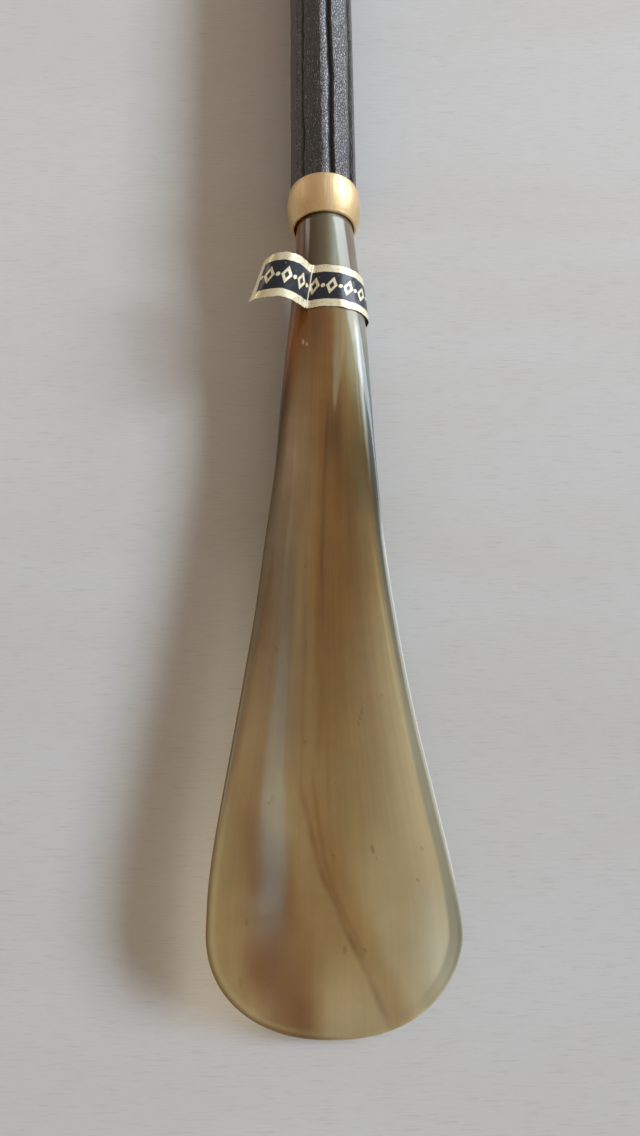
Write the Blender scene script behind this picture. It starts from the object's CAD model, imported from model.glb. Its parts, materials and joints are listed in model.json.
import json
import math

import bpy
import numpy as np
from mathutils import Matrix, Vector


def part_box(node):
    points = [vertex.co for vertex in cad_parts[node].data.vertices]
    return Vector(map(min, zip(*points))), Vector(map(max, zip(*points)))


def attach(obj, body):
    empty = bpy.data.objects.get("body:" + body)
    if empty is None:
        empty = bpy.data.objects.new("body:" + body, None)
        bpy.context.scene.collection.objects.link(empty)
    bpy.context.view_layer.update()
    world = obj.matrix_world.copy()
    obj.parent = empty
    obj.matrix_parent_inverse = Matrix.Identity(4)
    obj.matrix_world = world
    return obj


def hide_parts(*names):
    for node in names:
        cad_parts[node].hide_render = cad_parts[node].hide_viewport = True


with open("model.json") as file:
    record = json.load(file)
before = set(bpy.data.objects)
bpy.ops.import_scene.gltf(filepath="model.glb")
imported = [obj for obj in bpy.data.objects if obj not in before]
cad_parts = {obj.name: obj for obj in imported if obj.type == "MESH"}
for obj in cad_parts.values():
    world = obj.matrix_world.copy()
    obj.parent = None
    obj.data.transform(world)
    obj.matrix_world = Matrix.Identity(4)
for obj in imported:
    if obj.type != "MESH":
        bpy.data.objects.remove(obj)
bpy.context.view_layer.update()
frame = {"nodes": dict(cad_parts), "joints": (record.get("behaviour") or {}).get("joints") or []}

scene = bpy.context.scene

# ------------------------------------------------------------------ places, in mm along the shaft from the tip
TIP_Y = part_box("horn_blade")[0].y
AXIS_Z = (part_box("lower_collar")[0].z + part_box("lower_collar")[1].z) * 500
S_RIM = (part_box("lower_collar")[0].y - TIP_Y) * 1000
S_COLLAR = (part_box("lower_collar")[1].y - TIP_Y) * 1000
S_NECK_END = (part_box("horn_blade")[1].y - TIP_Y) * 1000
S_UPPER0 = (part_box("upper_collar")[0].y - TIP_Y) * 1000
S_UPPER1 = (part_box("upper_collar")[1].y - TIP_Y) * 1000
HINGE = [j for j in frame["joints"] if j["name"] == "loop_swing"][0]["pos_m"]
HOLE_S = (HINGE[1] - TIP_Y) * 1000


def to_frame(p):
    """(n, 3) points x, s, z in mm to the row frame in metres."""
    q = np.array(p, float).copy()
    q[:, 1] = q[:, 1] / 1000 + TIP_Y
    q[:, 0] /= 1000
    q[:, 2] /= 1000
    return q


# ------------------------------------------------------------------ small tools
def srgb(r, g, b, a=1.0):
    def f(c):
        c /= 255.0
        return c / 12.92 if c <= 0.04045 else ((c + 0.055) / 1.055) ** 2.4
    return (f(r), f(g), f(b), a)


def table(points):
    xs = [p[0] for p in points]
    ys = [p[1] for p in points]
    n = len(xs)
    d = [(ys[i + 1] - ys[i]) / (xs[i + 1] - xs[i]) for i in range(n - 1)]
    m = [d[0]] + [0.0] * (n - 2) + [d[-1]]
    for i in range(1, n - 1):
        if d[i - 1] * d[i] > 0:
            h0, h1 = xs[i] - xs[i - 1], xs[i + 1] - xs[i]
            w1, w2 = 2 * h1 + h0, h1 + 2 * h0
            m[i] = (w1 + w2) / (w1 / d[i - 1] + w2 / d[i])

    def f(x):
        if x <= xs[0]:
            return ys[0]
        if x >= xs[-1]:
            return ys[-1]
        i = 0
        while x > xs[i + 1]:
            i += 1
        h = xs[i + 1] - xs[i]
        t = (x - xs[i]) / h
        return (ys[i] * (1 + 2 * t) * (1 - t) ** 2 + m[i] * h * t * (1 - t) ** 2
                + ys[i + 1] * t * t * (3 - 2 * t) + m[i + 1] * h * t * t * (t - 1))

    return f


def smooth(f, half):
    def g(x):
        total = weight = 0.0
        for k in range(-4, 5):
            w = 1 - abs(k) / 5.0
            total += w * f(x + half * k / 4.0)
            weight += w
        return total / weight

    return g


def step(a, b, x):
    t = np.clip((np.asarray(x, float) - a) / (b - a), 0, 1)
    return t * t * (3 - 2 * t)


def bump01(x, centre, half):
    """1 at the centre, falling smoothly to 0 at half away."""
    t = np.clip(1 - np.abs((np.asarray(x, float) - centre) / half), 0, 1)
    return t * t * (3 - 2 * t)


def lattice(seed, n=256):
    return np.random.RandomState(seed).uniform(-1, 1, (n, n))


def noise2(x, y, seed, linear=False):
    """Smooth value noise in -1..1 over two coordinate arrays."""
    g = lattice(seed)
    x = np.asarray(x, float)
    y = np.asarray(y, float)
    xi, yi = np.floor(x).astype(int), np.floor(y).astype(int)
    fx, fy = x - xi, y - yi
    if not linear:
        fx, fy = fx * fx * (3 - 2 * fx), fy * fy * (3 - 2 * fy)
    n = g.shape[0]
    a, b = g[xi % n, yi % n], g[(xi + 1) % n, yi % n]
    c, d = g[xi % n, (yi + 1) % n], g[(xi + 1) % n, (yi + 1) % n]
    return (a * (1 - fx) + b * fx) * (1 - fy) + (c * (1 - fx) + d * fx) * fy


def noise_ring(ang, y, seed, around):
    """Value noise that repeats round a full turn: ang in radians, around lattice cells per turn."""
    g = np.random.RandomState(seed).uniform(-1, 1, (around, 512))
    x = np.mod(ang / (2 * np.pi), 1.0) * around
    xi, yi = np.floor(x).astype(int), np.floor(y).astype(int)
    fx, fy = x - xi, y - yi
    fx, fy = fx * fx * (3 - 2 * fx), fy * fy * (3 - 2 * fy)
    a, b = g[xi % around, yi % 512], g[(xi + 1) % around, yi % 512]
    c, d = g[xi % around, (yi + 1) % 512], g[(xi + 1) % around, (yi + 1) % 512]
    return (a * (1 - fx) + b * fx) * (1 - fy) + (c * (1 - fx) + d * fx) * fy


def grid_mesh(name, pts, closed_u=True, caps=True, attributes=None, smooth_shade=True):
    """pts is (rows, cols, 3) in mm (x, s, z). Each row is a ring when closed_u."""
    nv, nu = pts.shape[:2]
    verts = to_frame(pts.reshape(-1, 3))
    j, i = np.meshgrid(np.arange(nv - 1), np.arange(nu if closed_u else nu - 1), indexing="ij")
    i2 = (i + 1) % nu
    faces = np.stack([j * nu + i, j * nu + i2, (j + 1) * nu + i2, (j + 1) * nu + i], -1).reshape(-1, 4)
    faces = faces.tolist()
    n = len(verts)
    verts = verts.tolist()
    extra = 0
    if caps and closed_u:
        for row, flip in ((0, False), (nv - 1, True)):
            ring = [row * nu + k for k in range(nu)]
            c = np.mean([verts[k] for k in ring], axis=0).tolist()
            verts.append(c)
            ci = len(verts) - 1
            extra += 1
            for k in range(nu):
                a, b = ring[k], ring[(k + 1) % nu]
                faces.append([a, ci, b] if not flip else [a, b, ci])
    me = bpy.data.meshes.new(name)
    me.from_pydata(verts, [], faces)
    me.update()
    if attributes:
        for key, val in attributes.items():
            val = np.asarray(val, np.float32)
            if val.ndim == 3:
                v = val.reshape(-1, val.shape[2])
                pad = np.concatenate([v, np.tile(v[:1], (extra, 1))]) if extra else v
                if extra == 2:
                    pad[n], pad[n + 1] = v[0], v[-1]
                at = me.attributes.new(key, "FLOAT_COLOR", "POINT")
                if pad.shape[1] == 3:
                    pad = np.concatenate([pad, np.ones((len(pad), 1), np.float32)], 1)
                at.data.foreach_set("color", pad.astype(np.float32).ravel())
            else:
                v = val.reshape(-1)
                pad = np.concatenate([v, [v[0], v[-1]][:extra]]) if extra else v
                at = me.attributes.new(key, "FLOAT", "POINT")
                at.data.foreach_set("value", pad.astype(np.float32))
    me.validate()
    bm_fix_normals(me)
    if smooth_shade:
        me.polygons.foreach_set("use_smooth", [True] * len(me.polygons))
    ob = bpy.data.objects.new(name, me)
    scene.collection.objects.link(ob)
    return ob


def bm_fix_normals(me):
    import bmesh
    bm = bmesh.new()
    bm.from_mesh(me)
    bmesh.ops.recalc_face_normals(bm, faces=bm.faces)
    bm.to_mesh(me)
    bm.free()
    me.update()


class Nodes:
    """A short way to write a material's node tree."""

    def __init__(self, name):
        self.mat = bpy.data.materials.new(name)
        self.mat.use_nodes = True
        self.t = self.mat.node_tree
        self.t.nodes.clear()
        self.out = self.t.nodes.new("ShaderNodeOutputMaterial")

    def n(self, kind, **kw):
        node = self.t.nodes.new("ShaderNode" + kind)
        for k, v in kw.items():
            if k.startswith("i_"):
                self.set(node, k[2:].replace("_", " "), v)
            else:
                setattr(node, k, v)
        return node

    def set(self, node, key, v):
        sock = None
        if isinstance(key, int):
            sock = node.inputs[key]
        else:
            for s in node.inputs:
                if s.name.lower() == str(key).lower() and s.enabled:
                    sock = s
                    break
            if sock is None:
                sock = node.inputs[key]
        if isinstance(v, bpy.types.NodeSocket):
            self.t.links.new(v, sock)
        elif isinstance(v, bpy.types.Node):
            self.t.links.new(v.outputs[0], sock)
        else:
            sock.default_value = v
        return node

    def math(self, op, a, b=None, c=None, clamp=False):
        node = self.t.nodes.new("ShaderNodeMath")
        node.operation = op
        node.use_clamp = clamp
        for k, v in enumerate((a, b, c)):
            if v is not None:
                self.set(node, k, v)
        return node.outputs[0]

    def attr(self, name, out="Fac"):
        node = self.t.nodes.new("ShaderNodeAttribute")
        node.attribute_name = name
        return node.outputs[out]

    def combine(self, x, y, z):
        node = self.t.nodes.new("ShaderNodeCombineXYZ")
        for k, v in enumerate((x, y, z)):
            self.set(node, k, v)
        return node.outputs[0]

    def noise(self, vec, scale, detail=3.0, rough=0.55, dist=0.0, out="Fac"):
        node = self.t.nodes.new("ShaderNodeTexNoise")
        self.set(node, "Vector", vec)
        node.inputs["Scale"].default_value = scale
        node.inputs["Detail"].default_value = detail
        node.inputs["Roughness"].default_value = rough
        node.inputs["Distortion"].default_value = dist
        return node.outputs[out]

    def voronoi(self, vec, scale, feature="F1", rand=1.0, out="Distance"):
        node = self.t.nodes.new("ShaderNodeTexVoronoi")
        node.feature = feature
        self.set(node, "Vector", vec)
        node.inputs["Scale"].default_value = scale
        node.inputs["Randomness"].default_value = rand
        return node.outputs[out]

    def ramp(self, fac, stops, interp="LINEAR"):
        node = self.t.nodes.new("ShaderNodeValToRGB")
        node.color_ramp.interpolation = interp
        el = node.color_ramp.elements
        while len(el) > 1:
            el.remove(el[-1])
        el[0].position, el[0].color = stops[0][0], stops[0][1]
        for p, c in stops[1:]:
            e = el.new(p)
            e.color = c
        self.set(node, 0, fac)
        return node.outputs[0]

    def mix(self, fac, a, b, blend="MIX"):
        node = self.t.nodes.new("ShaderNodeMix")
        node.data_type = "RGBA"
        node.blend_type = blend
        node.clamp_result = False
        for sock in node.inputs:
            if sock.name == "Factor" and sock.type == "VALUE":
                self._put(sock, fac)
            elif sock.name == "A" and sock.type == "RGBA":
                self._put(sock, a)
            elif sock.name == "B" and sock.type == "RGBA":
                self._put(sock, b)
        return [o for o in node.outputs if o.type == "RGBA"][0]

    def _put(self, sock, v):
        if isinstance(v, bpy.types.NodeSocket):
            self.t.links.new(v, sock)
        else:
            sock.default_value = v

    def maprange(self, v, a, b, c=0.0, d=1.0, kind="SMOOTHSTEP"):
        node = self.t.nodes.new("ShaderNodeMapRange")
        node.interpolation_type = kind
        self.set(node, 0, v)
        for k, x in zip((1, 2, 3, 4), (a, b, c, d)):
            node.inputs[k].default_value = x
        return node.outputs[0]

    def bump(self, height, strength=0.3, distance=0.0002, normal=None):
        node = self.t.nodes.new("ShaderNodeBump")
        node.inputs["Strength"].default_value = strength
        node.inputs["Distance"].default_value = distance
        self.set(node, "Height", height)
        if normal is not None:
            self.set(node, "Normal", normal)
        return node.outputs[0]

    def finish(self, shader):
        self.t.links.new(shader, self.out.inputs[0])
        return self.mat


# ------------------------------------------------------------------ the horn scoop's shape
half_table = smooth(table([
    (21.6, 24.55), (27.0, 24.2), (34.4, 23.22), (41.9, 21.86), (49.6, 20.4), (57.4, 18.9),
    (65.4, 17.47), (73.6, 16.14), (82.0, 14.88), (90.6, 13.76), (99.5, 12.78), (108.5, 11.87),
    (117.8, 11.08), (124.9, 10.66), (132.2, 10.25), (137.1, 9.90), (144.7, 9.43), (149.8, 8.97),
    (155.6, 8.40), (161.6, 7.82), (167.6, 7.28), (173.6, 6.88), (176.6, 6.72), (179.5, 6.50), (190.0, 6.40)]), 3.0)
side_shift = smooth(table([
    (0.0, -0.30), (10.0, -0.25), (21.6, 0.0), (27.0, -0.22), (34.4, -0.47), (41.9, -0.70), (49.6, -0.84),
    (57.4, -0.99), (65.4, -1.07), (73.6, -1.06), (82.0, -0.96), (90.6, -0.93), (99.5, -0.87), (108.5, -0.59),
    (117.8, -0.32), (124.9, -0.22), (137.1, 0.05), (144.7, 0.26), (149.8, 0.40), (161.0, 0.40),
    (168.0, 0.34), (173.6, 0.20), (176.6, 0.06), (179.5, 0.0), (190.0, 0.0)]), 4.0)
top_line = smooth(table([
    (0.0, 1.95), (10.0, 2.0), (20.0, 2.1), (35.0, 2.4), (50.0, 2.9), (65.0, 3.6), (80.0, 4.6),
    (90.0, 5.4), (98.0, 6.25), (107.0, 7.6), (116.0, 9.3), (124.0, 11.1), (132.0, 13.1), (141.0, 15.2),
    (150.0, 16.9), (161.0, 18.1), (173.0, 18.5), (179.5, 18.1), (190.0, 18.1)]), 5.0)
bottom_line = smooth(table([
    (-10.0, 0.0), (36.0, 0.0), (50.0, 0.3), (65.0, 0.9), (80.0, 1.65), (90.0, 2.15), (107.0, 3.0), (124.0, 3.7),
    (136.0, 4.1), (150.0, 4.45), (161.0, 4.6), (173.0, 4.74), (179.5, 5.1), (190.0, 5.1)]), 5.0)
rim_line = smooth(table([
    (-30.0, 10.9), (21.6, 11.4), (35.0, 12.0), (50.0, 12.2), (65.0, 12.25), (80.0, 12.2), (90.0, 12.05),
    (98.0, 11.85), (107.0, 11.6), (116.0, 11.3), (124.0, 11.0), (132.0, 10.8), (141.0, 10.75), (150.0, 10.95),
    (161.0, 11.35), (173.0, 11.62), (179.5, 11.6), (190.0, 11.6)]), 5.0)
rim_half = smooth(table([
    (-30.0, 0.95), (10.0, 0.98), (35.0, 1.05), (65.0, 1.25), (90.0, 1.5), (107.0, 1.8), (124.0, 2.3),
    (140.0, 3.2), (190.0, 3.2)]), 5.0)
BLADE_HALF, BLADE_WIDEST = 24.55, 21.6


def half_width(s):
    if s >= BLADE_WIDEST + 3.0:
        return half_table(s)
    tip = BLADE_HALF * max(0.0, 1 - (1 - min(s, BLADE_WIDEST) / BLADE_WIDEST) ** 2) ** 0.45
    k = float(step(BLADE_WIDEST - 4.0, BLADE_WIDEST + 3.0, s))
    return tip * (1 - k) + half_table(max(s, BLADE_WIDEST)) * k


_edge_s = np.concatenate([np.linspace(0, 1, 60) ** 2 * 4.0, np.arange(4.25, 62, 0.25)])
_edge = np.array([[half_width(v), v] for v in _edge_s])


def to_edge(x, s):
    x = np.abs(np.asarray(x, float))
    if s > 40.0:
        slope = half_width(s + 0.5) - half_width(s - 0.5)
        return np.maximum(0.0, half_width(s) - x) / math.sqrt(1 + slope * slope)
    a, b = _edge[:-1], _edge[1:]
    d = b - a
    L = (d * d).sum(1)
    px = x[:, None] - a[None, :, 0]
    py = s - a[None, :, 1]
    t = np.clip((px * d[:, 0] + py * d[:, 1]) / L, 0, 1)
    dx, dy = px - t * d[:, 0], py - t * d[:, 1]
    return np.sqrt((dx * dx + dy * dy).min(1))


def section(s, t):
    """Ring of points round the horn at s, for angles t, and q, the place across, -1 to 1."""
    w = half_width(s)
    w_ref = max(w, half_width(BLADE_WIDEST)) if s < BLADE_WIDEST else w
    top, bottom = top_line(s), bottom_line(s)
    mid, rise = (top + bottom) / 2, rim_line(s) - (top + bottom) / 2
    solid_part = float(step(108.0, 146.0, s))
    xi = np.cos(t)
    x = w * xi
    q = x / w_ref
    z_mid = mid + rise * (0.82 * q * q + 0.18 * q ** 4)
    oval = (top - bottom) / 2 * np.sqrt(np.maximum(0.0, 1 - xi * xi))
    rho = rim_half(s)
    e = to_edge(x, s)
    rounding = np.sqrt(np.maximum(0.0, 1 - (1 - np.minimum(1.0, e / (1.15 * rho))) ** 2))
    plate = ((top - bottom) / 2 * (1 - q * q) + rho * q * q) * rounding
    h = oval * solid_part + plate * (1 - solid_part)
    up = np.where(np.sin(t) >= 0, 1.0, -1.0)
    p = np.stack([side_shift(s) + x, np.full_like(x, s), z_mid + h * up], -1)
    return p, q, e, up


def line_at(points, s):
    """Piecewise-linear q(s) from (q, s) pairs."""
    a = sorted((p[1], p[0]) for p in points)
    return np.interp(s, [v[0] for v in a], [v[1] for v in a])


def horn_colour(q, s, up, e):
    """sRGB colour of the horn over the place across and the place along."""
    def c(*v):
        return np.array(v, float)

    def lay(col, mask, colour):
        return col * (1 - mask[..., None]) + c(*colour) * mask[..., None]

    fine = noise2(q * 16 + 3, s / 30.0 + 5, 11) * 0.5 + noise2(q * 34, s / 22.0, 12) * 0.3 + noise2(q * 70, s / 16.0, 13) * 0.2
    cloud_n = noise2(q * 3.1 + 4, s / 8.5 + 2, 15) * 0.6 + noise2(q * 6.5 + 8, s / 4.5, 16) * 0.4
    warp = noise2(q * 2.2 + 9, s / 22.0, 14)
    wig = noise2(q * 0 + 3, s / 6.0, 17) * 0.012 + noise2(q * 0 + 9, s / 2.4, 18) * 0.004
    qq = q + 0.045 * warp + 0.02 * cloud_n
    ss = s + 3.0 * cloud_n
    # three broad tones along the length: pale tan, ochre, red-brown
    col = np.zeros(q.shape + (3,)) + c(160, 132, 90)
    col = lay(col, step(58, 92, ss), (142, 106, 58))
    col = lay(col, step(92, 128, ss), (132, 92, 46))
    col = lay(col, step(132, 152, ss), (122, 80, 44))
    # left of the middle: greyer tan
    left = step(0.02, -0.50, qq)
    col = lay(col, left * step(44, 66, ss) * step(146, 118, ss) * 0.9, (124, 98, 68))
    col = lay(col, left * step(132, 150, ss) * 0.9, (140, 90, 46))
    # amber on the right of the middle
    col = lay(col, bump01(qq, 0.30, 0.70) * bump01(ss, 92, 46) * 0.85, (150, 104, 44))
    col = lay(col, bump01(qq, 0.06, 0.30) * bump01(ss, 92, 44) * 0.55, (134, 88, 38))
    col = lay(col, step(0.42, 0.95, qq) * step(104, 76, ss) * 0.8, (190, 168, 126))
    col = lay(col, bump01(qq, 0.62, 0.46) * step(128, 140, ss) * 0.8, (146, 136, 106))
    col = lay(col, bump01(qq, -0.62, 0.5) * step(104, 124, ss) * step(152, 140, ss) * 0.5, (146, 118, 88))
    # dark plume under the end of the pale streak
    col = lay(col, bump01(qq, 0.20, 0.38) * step(100, 120, ss) * step(134, 124, ss) * 0.80, (100, 66, 34))
    col = lay(col, bump01(qq, 0.66, 0.44) * step(100, 118, ss) * step(150, 130, ss) * 0.75, (138, 112, 68))
    # orange thread to the left of it
    ln = line_at([(0.02, 152), (-0.02, 129), (-0.045, 122), (-0.075, 116), (-0.08, 109), (-0.1, 90), (-0.1, 76), (-0.05, 68), (-0.1, 50)], s) + wig
    col = lay(col, bump01(q, ln, 0.10) * step(100, 114, s) * step(150, 126, s) * (0.45 + 0.3 * fine), (146, 88, 38))
    col = lay(col, bump01(q, ln + 0.06, 0.05) * step(76, 94, s) * step(134, 126, s) * 0.55, (88, 54, 26))
    col = lay(col, bump01(q, ln, 0.07) * step(48, 60, s) * step(104, 92, s) * 0.35, (120, 82, 42))
    # cream streak running to a point
    cc = line_at([(0.36, 158), (0.34, 150), (0.25, 141), (0.205, 132), (0.185, 128)], s) + wig
    ch = np.interp(s, [128, 131.4, 139, 150, 158, 166], [0.0, 0.050, 0.125, 0.24, 0.30, 0.36])
    col = lay(col, step(1.25, 0.35, np.abs((q - cc) / np.maximum(ch, 1e-3))) * step(127.6, 132, s) * (0.86 + 0.12 * fine) * (0.6 + 0.4 * step(146, 138, s)), (156, 137, 104))
    # neck above the label
    neck = step(150, 163, ss)
    col = lay(col, neck, (104, 86, 66))
    col = lay(col, neck * bump01(q, -0.95, 0.45), (136, 80, 40))
    col = lay(col, neck * bump01(qq, 0.34, 0.42), (150, 148, 132))
    col = lay(col, neck * bump01(qq, -0.14, 0.20) * 0.5, (98, 86, 66))
    col = lay(col, bump01(q, 0.62, 0.22) * step(128, 138, s) * step(158, 150, s) * 0.5, (160, 156, 128))
    col = lay(col, step(0.60, 0.86, q) * step(116, 130, s) * step(170, 152, s) * np.where(up > 0, 0.80, 0.10), (124, 122, 118))
    shine = line_at([(0.70, 152), (0.74, 143), (0.79, 134), (0.84, 124), (0.88, 114), (0.90, 104)], s) + wig
    col = lay(col, bump01(q, shine, 0.075) * step(106, 118, s) * step(152, 146, s) * (0.80 + 0.2 * fine) * (up > 0), (236, 243, 250))
    col = lay(col, bump01(q, shine - 0.10, 0.04) * step(116, 124, s) * step(152, 142, s) * (0.35 + 0.3 * fine) * (up > 0), (186, 190, 190))
    # the left flank is darker
    col = lay(col, step(-0.42, -0.90, q) * step(62, 84, s) * step(146, 128, s) * 0.55, (88, 66, 44))
    col = lay(col, step(-0.66, -0.95, q) * step(136, 146, s) * 0.7, (150, 90, 42))
    # brown cloud low on the left
    cloud = bump01(qq, line_at([(-0.80, 45), (-0.66, 36), (-0.52, 27), (-0.52, 16), (-0.34, 6), (-0.3, 0)], s), 0.42) * step(66, 36, ss)
    col = lay(col, cloud * 0.95, (112, 80, 48))
    col = lay(col, bump01(qq, -0.52, 0.26) * bump01(ss, 27, 12) * 0.75, (94, 60, 30))
    col = lay(col, bump01(qq, -0.60, 0.22) * bump01(ss, 14, 9) * 0.7, (94, 58, 28))
    col = lay(col, bump01(qq, -0.34, 0.22) * bump01(ss, 7, 8) * 0.6, (112, 78, 44))
    col = lay(col, bump01(qq, -0.22, 0.30) * bump01(ss, 15, 10) * 0.45, (122, 88, 52))
    col = lay(col, step(-0.66, -0.90, qq) * step(66, 38, ss) * 0.75, (140, 116, 74))
    # paler right-hand side towards the end
    pale = step(0.10, 0.50, qq) * step(66, 40, ss)
    col = lay(col, pale * 0.90, (204, 182, 142))
    col = lay(col, bump01(qq, 0.82, 0.34) * bump01(ss, 16, 18) * 0.95, (228, 229, 220))
    col = lay(col, bump01(qq, 0.66, 0.26) * bump01(ss, 6.5, 9) * 0.7, (216, 206, 176))
    col = lay(col, bump01(qq, 0.05, 0.34) * bump01(ss, 6, 16) * 0.55, (184, 166, 130))
    # the long dark vein with its ochre shadow on the right
    vein = [(-0.36, 57), (-0.325, 51.6), (-0.255, 45.5), (-0.176, 39.5), (-0.094, 31.7), (0.006, 25.9), (0.095, 20.2), (0.201, 15.6), (0.281, 11.9), (0.358, 7.5), (0.41, 4.8), (0.45, 2.0)]
    v = line_at(vein, s) + wig
    band = step(v - 0.01, v + 0.05, q) * step(v + 0.30, v + 0.12, q) * step(56, 30, s)
    col = lay(col, band * (0.62 + 0.12 * cloud_n), (154, 114, 58))
    dark = np.interp(s, [2, 6, 16, 26, 34, 44, 56], [0.6, 0.75, 0.9, 0.75, 0.6, 0.4, 0.0]) * (0.85 + 0.35 * noise2(q * 0 + 5, s / 3.0, 19))
    col = lay(col, bump01(q, v + 0.008, np.interp(s, [0, 10, 30, 60], [0.060, 0.048, 0.042, 0.05])) * np.clip(dark * 0.85, 0, 1), (98, 66, 34))
    v2 = line_at([(-0.15, 54), (-0.138, 47.5), (-0.101, 41.5), (-0.047, 33.6), (0.027, 27.8), (0.099, 23.0), (0.217, 17.4), (0.30, 13.5)], s) + wig
    col = lay(col, bump01(q, v2, 0.036) * step(12, 18, s) * step(56, 40, s) * 0.5, (112, 78, 40))
    for qv, sv, hv, wv in ((-0.25, 64, 26, 0.06), (0.36, 66, 24, 0.05), (0.55, 78, 28, 0.05), (-0.32, 100, 26, 0.07), (-0.48, 92, 30, 0.06),
                           (0.02, 52, 20, 0.05), (0.30, 46, 22, 0.05), (-0.12, 118, 18, 0.05), (-0.28, 130, 16, 0.06), (0.70, 100, 20, 0.06)):
        col = lay(col, bump01(q + 0.03 * warp, qv, wv) * bump01(s, sv, hv) * 0.22, (108, 78, 42))
    for qv, sv, hv, wv in ((-0.36, 84, 26, 0.07), (0.44, 58, 20, 0.08), (0.64, 60, 24, 0.07), (-0.18, 74, 24, 0.07), (0.80, 74, 26, 0.07), (-0.62, 104, 24, 0.07)):
        col = lay(col, bump01(q + 0.03 * warp, qv, wv) * bump01(s, sv, hv) * 0.25, (172, 148, 104))
    col = lay(col, bump01(q, 0.42, 0.30) * bump01(s, 66, 34) * 0.62, (180, 148, 98))
    col = lay(col, bump01(q, 0.20, 0.34) * bump01(s, 102, 24) * 0.70, (164, 118, 62))
    col = lay(col, bump01(q, -0.30, 0.28) * bump01(s, 104, 26) * 0.5, (166, 126, 76))
    col = lay(col, bump01(q, 0.68, 0.24) * bump01(s, 113, 22) * 0.70, (158, 140, 108))
    col = lay(col, bump01(q, 0.06, 0.42) * bump01(s, 76, 26) * 0.50, (160, 124, 72))
    col = lay(col, bump01(q, 0.14, 0.26) * bump01(s, 112, 16) * 0.35, (166, 108, 52))
    col = lay(col, bump01(q, -0.80, 0.22) * bump01(s, 34, 24) * 0.16, (104, 76, 48))
    col = lay(col, bump01(q, 0.30, 0.30) * bump01(s, 48, 18) * 0.35, (178, 150, 106))
    col = lay(col, bump01(q, -0.84, 0.34) * bump01(s, 145, 16) * 0.85, (172, 102, 50))
    col = lay(col, bump01(q, -0.28, 0.24) * bump01(s, 146, 12) * 0.30, (84, 54, 36))
    col = lay(col, bump01(q, 0.50, 0.62) * step(46, 26, s) * 0.24, (208, 196, 170))
    col = lay(col, bump01(q, -0.62, 0.40) * bump01(s, 120, 26) * 0.55, (142, 102, 68))
    col = lay(col, bump01(q, 0.46, 0.26) * bump01(s, 124, 12) * 0.45, (138, 100, 60))
    col = lay(col, bump01(q, -0.20, 0.30) * bump01(s, 128, 18) * 0.30, (138, 90, 48))
    # the rim: grey on the right, olive on the left
    band_r = 1.9 + 0.8 * step(74, 46, s)
    rim_r = step(band_r, band_r - 0.7, e) * step(-0.2, 0.1, q) * step(3, 24, s) * step(150, 118, s)
    col = lay(col, bump01(e, 2.4, 0.45) * step(0.2, 0.4, q) * step(6, 20, s) * step(110, 80, s) * 0.5, (204, 198, 168))
    col = lay(col, rim_r * np.where(up > 0, 0.9, 0.45), (112, 119, 118))
    col = lay(col, rim_r * step(58, 78, s) * (up > 0) * 0.55, (82, 90, 96))
    col = lay(col, rim_r * step(0.95, 0.50, e) * step(18, 36, s) * step(112, 96, s), (238, 244, 250))
    rim_l = step(1.0, 0.3, e) * step(0.3, 0.0, q) * step(150, 130, s)
    col = lay(col, step(2.8, 0.6, e) * step(0.0, -0.3, q) * step(34, 56, s) * step(150, 130, s) * 0.6, (82, 64, 44))
    col = lay(col, bump01(e, 1.3, 0.8) * step(0.3, 0.0, q) * step(60, 30, s) * 0.40, (168, 162, 126))
    col = lay(col, rim_l * 0.6, (96, 84, 54))
    thread = noise2(q * 88 + 7, s / 26.0 + 3, 71) * 0.5 + noise2(q * 46 + 2, s / 40.0 + 6, 72) * 0.5
    col = col * (1 + (0.040 * fine + 0.045 * thread * step(24, 60, s) + 0.045 * cloud_n)[..., None])
    # the back is a little darker
    back = (up < 0).astype(float)
    col = col * (1 - 0.10 * back[..., None])
    # two pale nicks
    for q0, s0, r0 in ((-0.57, 144.7, 0.24), (-0.48, 144.1, 0.18)):
        d = np.hypot((q - q0) * 9.0, (s - s0) * 0.6)
        col = lay(col, np.clip(1.6 - d / r0, 0, 1) * 0.7 * (up > 0), (224, 214, 196))
    # pits and short hairs of darker horn
    rng = np.random.RandomState(77)
    for _ in range(26):
        q0, s0, r0 = rng.uniform(-0.75, 0.8), rng.uniform(6, 100), rng.uniform(0.06, 0.15)
        ln0, tilt = rng.uniform(0.2, 1.6) * (rng.uniform() < 0.6), rng.uniform(-0.5, 0.5)
        x = (q - q0) * 20.0 - tilt * (s - s0)
        d = np.sqrt(x * x + (np.maximum(0, np.abs(s - s0) - ln0)) ** 2)
        col = lay(col, np.clip(1.4 - d / r0, 0, 1) * 0.5 * (up > 0), (72, 48, 26))
    col = col * c(1.0, 1.03, 1.0)
    # end of the scoop, a little paler in the middle
    col = lay(col, bump01(q, 0.14, 0.36) * step(17.0, 5.0, s) * 0.8, (196, 184, 148))
    return np.clip(col, 8, 245)


def rgb_linear(col):
    c = col / 255.0
    return np.where(c <= 0.04045, c / 12.92, ((c + 0.055) / 1.055) ** 2.4)


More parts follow.
